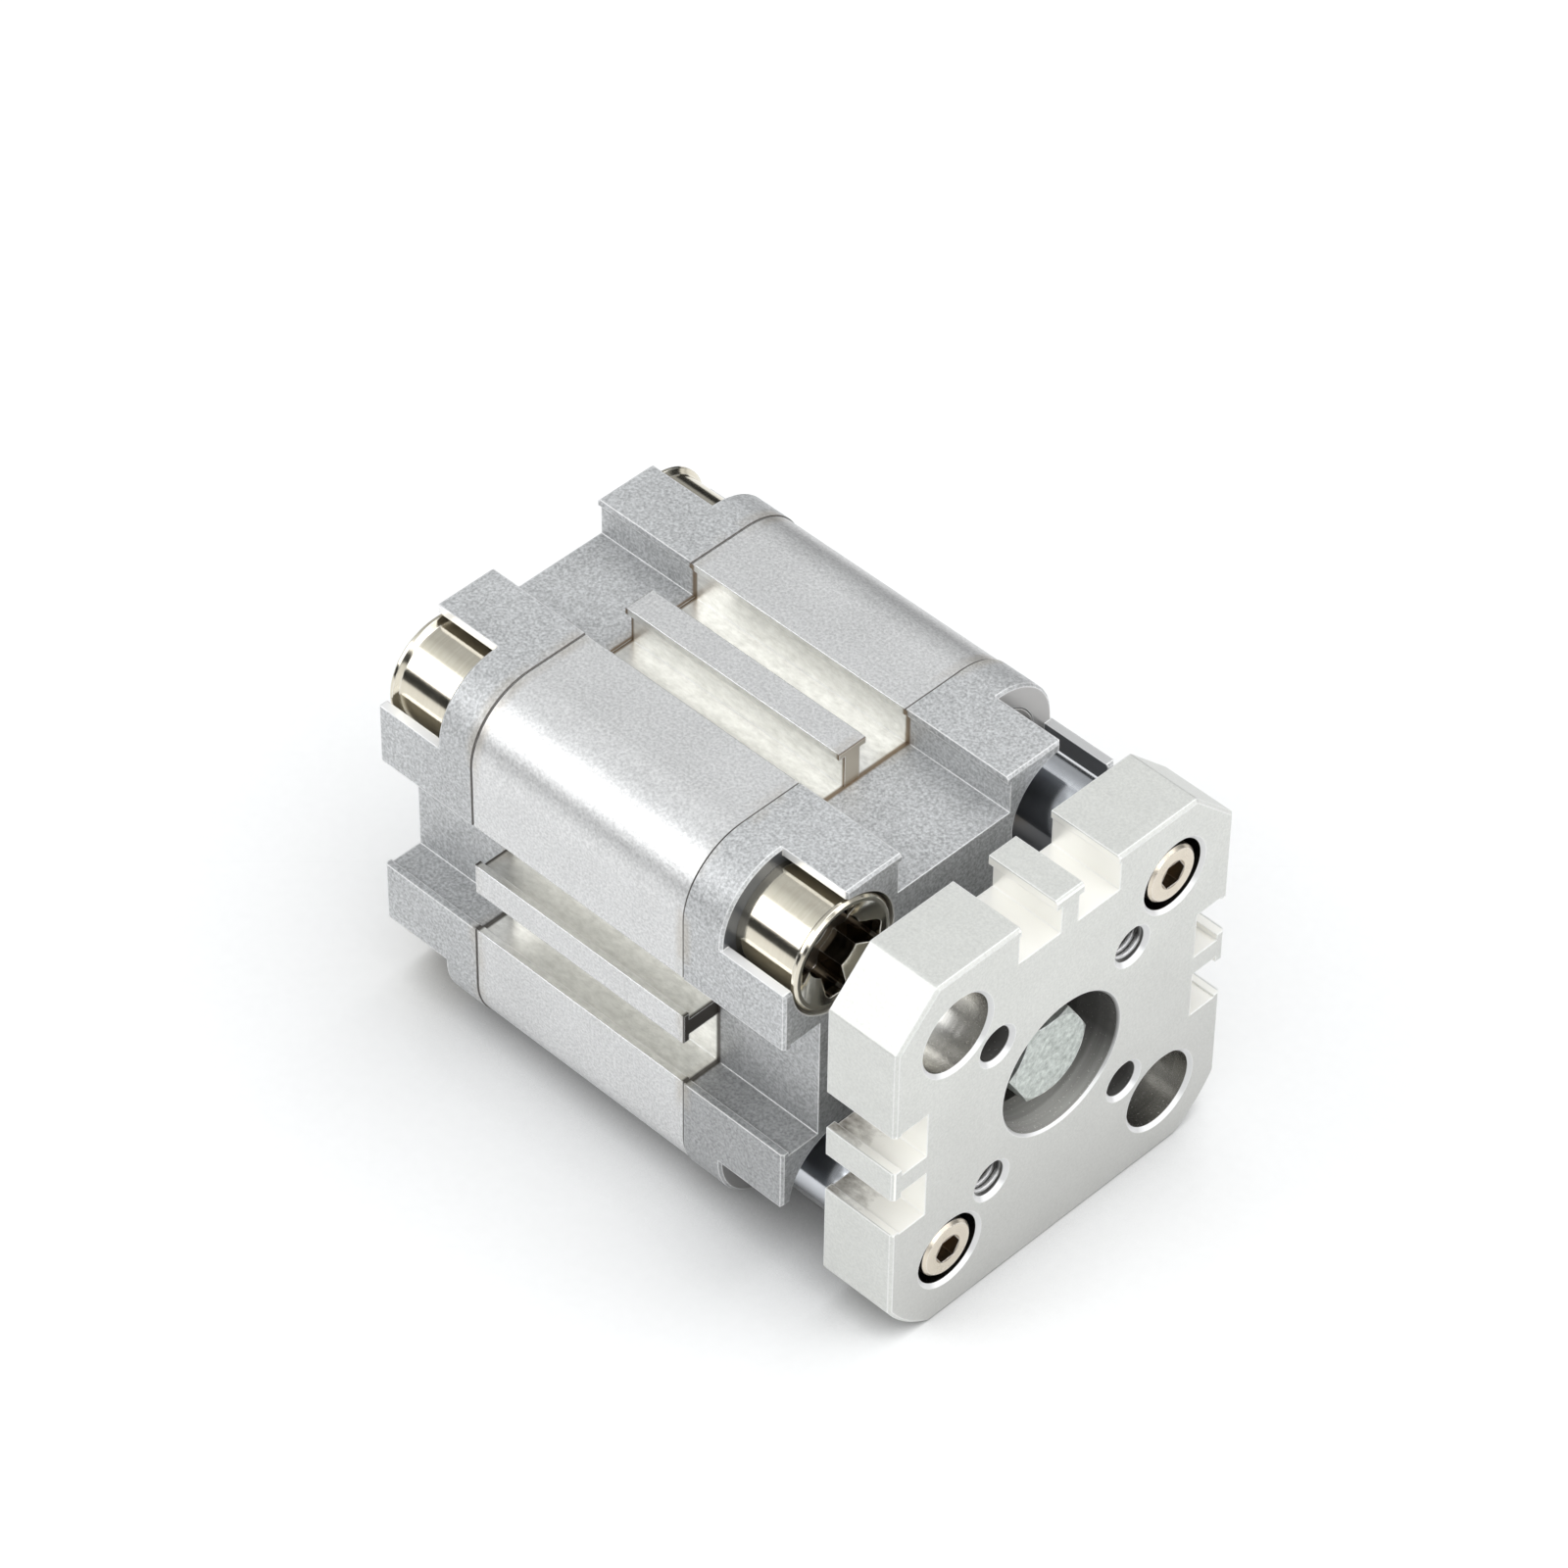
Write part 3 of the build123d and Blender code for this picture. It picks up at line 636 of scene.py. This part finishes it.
def hole_shade(look, at_centre, at_counterbore, at_small):
    """1 in shaded holes: the bore but for its lowest part, counterbores and small holes."""
    step = look.finish.step
    upper = step(look.z, 0.1 - bore_radius, -2.0) * step(look.x, bore_floor - 0.1, bore_floor)
    upper = upper * step(at_centre, bore_radius + 0.4, bore_radius + 0.1)
    sunk = step(at_counterbore, counterbore_radius + 0.05, counterbore_radius + 0.03)
    narrow = step(at_small, small_hole_radius + 0.10, small_hole_radius + 0.05)
    return joined(look.finish, joined(look.finish, upper, sunk), narrow) * look.below


def satin_plate():
    """Even satin aluminium with soft clouds, pits, bright edges and bare hole walls.

    Of the four corner holes, those at y z > 0 are counterbores and the others access holes.
    For each kind, the distance to the other kind is put out of reach.
    """
    finish = Finish(bpy.data.materials.new("plate"))
    place = millimetres(finish)
    x, y, z = finish.parts(place)
    grain = noise(finish, place, 3.4, 2.0, 0.6)
    notch, milled = notch_faces(finish, x, y, z)
    colour = finish.blend(notch, plate_skin(finish, place, z, grain), milled)
    # Edges lightened: partly metal rubbed bright, partly a painted highlight.
    colour = finish.blend(edge_mask(finish, 0.25) * 0.8, colour, grey(0.99))
    satin = {"normal": relief(finish, grain, 0.008), "roughness": 0.32 + grain * 0.08}
    look = PlateLook(finish, x, y, z, colour, **satin)

    guided = finish.step(y * z, -1.0, 1.0)
    at_centre = corner_distance(y, z, 0.0)
    at_corner = corner_distance(y, z, hole_corner)
    at_access = at_corner + guided * OUT_OF_REACH
    at_counterbore = at_corner + (1.0 - guided) * OUT_OF_REACH
    at_small = corner_distance(y, z, small_hole_corner)
    look.drill(0.0, at_centre, bore_radius, bevel=0.35, floor=bore_floor)
    look.drill(hole_corner, at_access, access_radius, bevel=0.50)
    look.drill(hole_corner, at_counterbore, counterbore_radius, bevel=0.50)
    look.drill(small_hole_corner, at_small, small_hole_radius, bevel=0.52)

    shade = hole_shade(look, at_centre, at_counterbore, at_small)
    colour = finish.blend(shade * 0.85, look.colour, (0.070, 0.068, 0.065, 1.0))
    cut_back = finish.step(at_corner, access_radius + 0.03, access_radius) * look.below
    metallic = (0.4 + 0.6 * cut_back) * (1.0 - look.mouths)
    inputs = {"base_color": colour, "metallic": metallic, "roughness": look.roughness}
    finishes["plate"] = finish.surface(normal=look.normal, **inputs)


satin_plate()
print("nodes in the plate's finish:", len(finishes["plate"].node_tree.nodes))

# %% [markdown]
# ## Turned steel and bronze: nuts, tubes, rods, screws and bushes
#
# Parts from a lathe carry fine rings round their axis. Anisotropic gloss could stand in for
# them, but it needs a direction along each surface, which these meshes don't carry. So `rings`
# makes one noise from the distance to the axis and the place along it, which bends the normal
# a little. A nickel coat is warm and soft, and hard chrome on the rods is bright and nearly
# smooth. Key sockets keep oil and dirt, so inside a given radius the metal turns dark and brown.

# %% Turned metals
def turned_metal(
    name, dark, light, rough, depth, spread=0.14, corner=hole_corner,
    socket_radius=0.0, socket_top=None, brownness=1.0,
):
    """Metal with turning rings, a few smudges, brighter edges and a dark key socket.

    corner places the axes. The metal is sooty inside the socket's radius, and where
    socket_top is given, only from that far under the body's end faces inwards.
    """
    finish = Finish(bpy.data.materials.new(name))
    place = millimetres(finish)
    x, y, z = finish.parts(place)
    radius = corner_distance(y, z, corner)
    marks = rings(finish, x, radius)
    smudges = noise(finish, place, 0.55, 5.0, 0.65)
    edges = edge_mask(finish, 0.16)
    colour = finish.blend(marks * 0.5 + smudges * 0.5, dark, light)
    if socket_radius:
        socket = finish.step(radius, socket_radius + 0.1, socket_radius)
        if socket_top is not None:
            top = body_middle - socket_top
            socket = socket * finish.step(abs(x - body_middle), top + 0.1, top)
        grime = finish.blend(smudges * brownness, SOOT, (0.30, 0.24, 0.17, 1.0))
        colour = finish.blend(socket, colour, grime)
    # Edges lightened: partly metal rubbed bright, partly a painted highlight.
    colour = finish.blend(edges * 0.6, colour, grey(0.97, 0.02))
    roughness = rough + smudges * spread - edges * 0.05
    normal = relief(finish, marks, depth)
    inputs = {"base_color": colour, "metallic": 1.0, "roughness": roughness, "normal": normal}
    finishes[name] = finish.surface(**inputs)


turned_metal(
    "nut", (0.58, 0.53, 0.42, 1.0), (0.86, 0.82, 0.71, 1.0), rough=0.08, depth=0.003,
    spread=0.10, socket_radius=5.75, socket_top=1.45,
)
turned_metal(
    "screw", (0.60, 0.53, 0.43, 1.0), (0.86, 0.79, 0.68, 1.0), rough=0.22, depth=0.004,
    socket_radius=1.70, brownness=2.0,
)
turned_metal(
    "rod", (0.56, 0.58, 0.61, 1.0), (0.78, 0.80, 0.84, 1.0), rough=0.14, depth=0.001,
    spread=0.08,
)
turned_metal("tube", (0.40, 0.39, 0.37, 1.0), (0.60, 0.59, 0.57, 1.0), rough=0.30, depth=0.010)
turned_metal("bush", (0.30, 0.19, 0.09, 1.0), (0.52, 0.36, 0.19, 1.0), rough=0.36, depth=0.006)
turned_metal(
    "piston_nut", (0.50, 0.50, 0.47, 1.0), (0.70, 0.70, 0.66, 1.0), rough=0.34, depth=0.006,
    corner=0.0,
)
print("finishes so far:", sorted(finishes))

# %% [markdown]
# ## Zinc and fresh threads
#
# The head of the plate bolt is plated with zinc: mottled, dull and a little green. It could be
# one more turned metal, but it shows no rings. A cut thread is dark, because its flanks mirror
# each other, and only its crests catch light. At this size the render can't resolve that by
# itself, so on the low side of the plate's holes the finish makes the crests bright.

# %% Zinc and thread finishes
def zinc(name):
    """Zinc plate on rolled steel, mottled and a little green."""
    finish = Finish(bpy.data.materials.new(name))
    mottle = noise(finish, millimetres(finish), 1.3, 5.0, 0.7)
    spangle = finish.step(mottle, 0.30, 0.66)
    colour = finish.blend(spangle, (0.33, 0.36, 0.34, 1.0), (0.70, 0.74, 0.705, 1.0))
    # Edges lightened: partly metal rubbed bright, partly a painted highlight.
    colour = finish.blend(edge_mask(finish, 0.2) * 0.7, colour, grey(0.95))
    normal = relief(finish, mottle, 0.05)
    roughness = 0.34 + mottle * 0.2
    inputs = {"base_color": colour, "metallic": 0.7, "roughness": roughness, "normal": normal}
    finishes[name] = finish.surface(**inputs)


def cut_thread(name):
    """Freshly cut thread: dark, in the plate with crests that catch the light low down."""
    finish = Finish(bpy.data.materials.new(name))
    x, y, z = finish.parts(millimetres(finish))
    in_plate = finish.step(x, plate_back - 1.0, plate_back - 0.9)
    crest = finish.step(low_side(y, z, small_hole_corner), 0.35, 0.75) * in_plate
    marks = rings(finish, x, corner_distance(y, z, small_hole_corner))
    colour = finish.blend(joined(finish, crest, marks * 0.3), grey(0.10, 0.02), grey(0.95))
    inputs = {"base_color": colour, "metallic": 0.9 - 0.6 * crest, "roughness": 0.30 + marks * 0.1}
    finishes[name] = finish.surface(**inputs)


zinc("bolt")
cut_thread("cut_thread")
print("finishes so far:", len(finishes))

# %% [markdown]
# ## Rubber and magnet
#
# Seals, end stops and the magnet ring are moulded, dark and dull. Plain black would do for
# hidden parts, but a little mould texture keeps them from looking like holes when the body is
# taken apart.

# %% Moulded parts
def moulded(name, dark, light, rough):
    """Matte moulded rubber or plastic with a fine skin."""
    finish = Finish(bpy.data.materials.new(name))
    skin = noise(finish, millimetres(finish), 2.2, 3.0)
    colour = finish.blend(skin, grey(dark), grey(light))
    normal = relief(finish, skin, 0.01)
    finishes[name] = finish.surface(base_color=colour, roughness=rough + skin * 0.2, normal=normal)


moulded("rubber", dark=0.010, light=0.028, rough=0.45)
moulded("bumper", dark=0.03, light=0.06, rough=0.5)
moulded("magnet", dark=0.02, light=0.05, rough=0.5)
print("finishes:", sorted(finishes))

# %% [markdown]
# ## Dress the solids
#
# Each solid has to get its own finish. A list of names and finishes could be kept here, but the
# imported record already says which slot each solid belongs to, and each slot has one finish.

# %% Assign the finishes
slot_of = {entry["node"]: entry["material_slot"] for entry in frame["record"]["subparts"]}
for name, solid in nodes.items():
    solid.data.materials.clear()
    solid.data.materials.append(finishes[slot_of[name]])
print("dressed", len(nodes), "solids in", len(set(slot_of.values())), "finishes")

# %% [markdown]
# ## Threads
#
# The CAD holes are smooth at the size of the tapping drill. A real thread shows as bright
# crests that wind down into the hole. The solids aren't cut here, and bump alone gives no
# shadow, so a thin ridge is wound onto the wall: a trapezium carried along a helix, worked out
# as one array, with its height fading to nothing at both ends.

# %% Thread ridge
def strip_mesh(name, points):
    """Mesh of quads on a grid of points with shape (rows, columns, 3), each row a closed loop."""
    rows, columns = points.shape[:2]
    start = np.arange(rows - 1)[:, None] * columns
    column = np.arange(columns)[None, :]
    following = (column + 1) % columns
    after = start + columns
    corners = [start + column, start + following, after + following, after + column]
    faces = np.stack(corners, axis=-1).reshape(-1, 4)
    mesh = bpy.data.meshes.new(name)
    mesh.from_pydata(points.reshape(-1, 3), [], faces)
    mesh.polygons.foreach_set("use_smooth", np.ones(len(faces), bool))
    mesh.update()
    return mesh


def thread(name, start, end, centre, wall_radius, height, pitch, along="X", steps=40):
    """Helical ridge on the wall of a hole, all lengths in millimetres.

    At turn t the ridge is at angle 2 pi t and at distance start + pitch t along the hole. Its
    section is a trapezium that stands `height` in from the wall. The height is multiplied by a
    ramp that rises over the first half turn and falls over the last.
    """
    turns = (end - start) / pitch - 1.0
    t = np.linspace(0.0, turns, int(turns * steps) + 1)[:, None]
    ramp = np.clip(np.minimum(t, turns - t) / 0.5, 0.02, 1.0)
    offset = np.array([-0.42, -0.10, 0.10, 0.42])[None, :] * pitch
    inward = np.array([-0.04, 1.0, 1.0, -0.04])[None, :]
    radius = wall_radius - inward * height * ramp
    distance = start + pitch * (t + 0.5) + offset
    angle = 2 * np.pi * t
    across = radius * np.cos(angle), radius * np.sin(angle)
    if along == "X":
        points = np.stack([distance, centre[0] + across[0], centre[1] + across[1]], axis=-1)
    else:
        points = np.stack([centre[0] + across[1], distance, centre[1] + across[0]], axis=-1)
    return strip_mesh(name, points * MM)


def add_ridge(mesh, body):
    """Ridge at the origin that rides on a body, in bare cut metal."""
    piece = bpy.data.objects.new(mesh.name, mesh)
    bpy.context.scene.collection.objects.link(piece)
    mesh.materials.append(finishes["cut_thread"])
    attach(piece, body)
    return piece


print("a ridge can be wound along X or along Y")

# %% [markdown]
# ## Where the threads are
#
# The four tubes are threaded at the rear, and the two tie tubes also in front, for the screws
# that fix the cylinder. Two of the four small holes of the plate show a thread in the
# photograph, and the other two are smooth. Each cap has an air port with a fine pipe thread on
# the side away from the camera, which reaches from `PORT_BOTTOM` to `PORT_MOUTH`, measured from
# the cylinder's axis. The ridges on the plate ride along with the carriage.

# %% Threads of the tubes, the plate and the ports
TUBE_THREAD = {"wall_radius": 2.6, "height": 0.25, "pitch": 1.0}
PLATE_THREAD = {"wall_radius": small_hole_radius, "height": 0.22, "pitch": 0.8}
PORT_THREAD = {"wall_radius": 4.4, "height": 0.28, "pitch": 0.907, "along": "Y", "steps": 56}
PORT_FROM_END = 7.1
PORT_BOTTOM = 11.4
PORT_MOUTH = 18.5


def corner_axis(name, corner):
    """Centre of a hole named like upper_left, with y and z of size corner."""
    height, side = name.split("_")
    return (corner if side == "right" else -corner, corner if height == "upper" else -corner)


rear_span = (tube_rear + 0.1, tube_rear + 7.0)
front_span = (tube_front - 12.0, tube_front - 0.1)
plate_span = (plate_back + 0.1, plate_front - 0.45)
ridges = []
for name in ("upper_left", "upper_right", "lower_left", "lower_right"):
    axis = corner_axis(name, hole_corner)
    mesh = thread("rear_tube_thread_" + name, *rear_span, axis, **TUBE_THREAD)
    ridges.append(add_ridge(mesh, "housing"))
for name in ("upper_left", "lower_right"):
    axis = corner_axis(name, hole_corner)
    mesh = thread("front_tube_thread_" + name, *front_span, axis, **TUBE_THREAD)
    ridges.append(add_ridge(mesh, "housing"))
for name in ("upper_right", "lower_left"):
    axis = corner_axis(name, small_hole_corner)
    mesh = thread("plate_thread_" + name, *plate_span, axis, **PLATE_THREAD)
    ridges.append(add_ridge(mesh, "carriage"))
for name, port_x in (("rear", PORT_FROM_END), ("front", cap_front - PORT_FROM_END)):
    mesh = thread("port_thread_" + name, PORT_BOTTOM, PORT_MOUTH, (port_x, 0.0), **PORT_THREAD)
    ridges.append(add_ridge(mesh, "housing"))
print(len(ridges), "threads,", sum(len(ridge.data.polygons) for ridge in ridges), "faces")

# %% [markdown]
# ## Floor
#
# The cylinder rests on white paper. Lamps strong enough to make the paper pure white would
# also wash out the metal. So near the cylinder the sheet is lit by the lamps and keeps the
# shadow, and further out it turns self-bright for the camera and for reflections. Far behind
# the cylinder it stays dark in reflections, which gives metal its dark bands. A darker tone in
# the narrow gap under the body stands in for the fine contact shadow.

# %% Floor
FLOOR_HALF = 6.0
floor_level = cad_box[0].z
floor_mesh = bpy.data.meshes.new("floor")
floor_signs = ((-1, -1), (1, -1), (1, 1), (-1, 1))
floor_corners = [(FLOOR_HALF * i, FLOOR_HALF * j, floor_level) for i, j in floor_signs]
floor_mesh.from_pydata(floor_corners, [], [(0, 1, 2, 3)])
floor = bpy.data.objects.new("floor", floor_mesh)
bpy.context.scene.collection.objects.link(floor)

paper = Finish(bpy.data.materials.new("paper"))
sheet_place = millimetres(paper)
fibre = noise(paper, sheet_place, 0.8, 2.0)
nook = paper.add("AmbientOcclusion", {"Distance": 0.024}, output=1, samples=8)
contact = 0.25 + 0.75 * paper.step(nook, 0.12, 0.62)
tone = paper.blend(fibre, grey(0.89), grey(0.92))
diffuse = paper.add("BsdfDiffuse", {"Color": paper.blend(contact, grey(0.0), tone)})
reach = paper.add("VectorMath", {0: sheet_place}, output=1, operation="LENGTH")
for_camera = paper.add("LightPath", output=0)
for_gloss = paper.add("LightPath", output=3)
in_front = paper.step(paper.parts(sheet_place)[0], 0.0, 200.0)
lit = joined(paper, paper.step(reach, 340.0, 250.0), in_front)
glow = for_camera * 1.04 + for_gloss * (0.05 + 0.90 * lit)
emission = paper.add("Emission", {"Color": grey(1.0), "Strength": glow})
share = (for_camera + for_gloss) * (0.05 + 0.95 * paper.step(reach, 100.0, 330.0))
paper.add("OutputMaterial", {0: paper.add("MixShader", {0: share, 1: diffuse, 2: emission})})
floor_mesh.materials.append(paper.owner)
print("floor at", round(floor_level / MM, 2), "mm")

# %% [markdown]
# ## Light tent
#
# Metal shows what stands round it, so most of the look comes from the world: a tent that is
# brighter above and has a pale wall at the left, and a dark gap at the horizon where the sheet
# ends. That gap draws the black lines along the shiny nuts. Cards and walls could be built as
# objects, but a few ramps over the direction of view are easier to adjust. The camera itself
# sees plain white.

# %% World
GAP_LEVEL = 0.03
TENT_LEVEL = 0.40
LEFT_WALL_EXTRA = 0.48
ROOF_EXTRA = 0.25

studio = Finish(bpy.data.worlds.new("studio"))
bpy.context.scene.world = studio.owner
sideways, upward = studio.parts(studio.add("TexCoord", output=0))[1:]
above_gap = studio.step(upward, 0.17, 0.22)
left_wall = studio.step(sideways, 0.0, -0.40)
roof = studio.step(upward, 0.55, 0.95)
tent = GAP_LEVEL + above_gap * (TENT_LEVEL + LEFT_WALL_EXTRA * left_wall) + ROOF_EXTRA * roof
for_camera = studio.add("LightPath", output=0)
strength = for_camera + (1.0 - for_camera) * tent
tint = studio.blend(for_camera, (0.97, 0.99, 1.0, 1.0), grey(1.0))
backdrop = studio.add("Background", {"Color": tint, "Strength": strength})
studio.add("OutputWorld", {0: backdrop})
print("levels of gap, tent and left wall:", GAP_LEVEL, TENT_LEVEL, TENT_LEVEL + LEFT_WALL_EXTRA)

# %% [markdown]
# ## Lamps
#
# Four soft lamps light the cylinder: a large one overhead, one at the left, and two in front
# of the plate. Small lamps of the same power would light it too, but shiny metal mirrors a
# lamp's shape, and only a large one fills a face evenly. The power of each is worked out from
# its area, so that radiance 1 is as bright as a white card.

# %% Lamps
LAMP_AIM = Vector((0.038, 0.0, 0.0))


def lamp(name, direction, distance, width, height, radiance):
    """Soft lamp that faces the middle of the cylinder."""
    data = bpy.data.lights.new(name, "AREA")
    data.shape = "RECTANGLE"
    data.size = width
    data.size_y = height
    data.energy = radiance * math.pi * width * height
    place = Vector(direction).normalized() * distance
    lamp_object = bpy.data.objects.new(name, data)
    lamp_object.location = place + LAMP_AIM
    lamp_object.rotation_euler = place.to_track_quat("Z", "Y").to_euler()
    bpy.context.scene.collection.objects.link(lamp_object)


lamp("overhead_softbox", (0.25, 0.40, 1.0), 0.9, width=1.05, height=1.05, radiance=1.35)
lamp("left_softbox", (-0.50, -0.70, 0.50), 0.9, width=0.60, height=0.56, radiance=1.9)
lamp("front_softbox", (0.88, -0.14, 0.38), 1.0, width=0.90, height=0.36, radiance=1.9)
lamp("right_softbox", (1.0, 0.60, 0.60), 1.0, width=0.40, height=0.40, radiance=1.2)
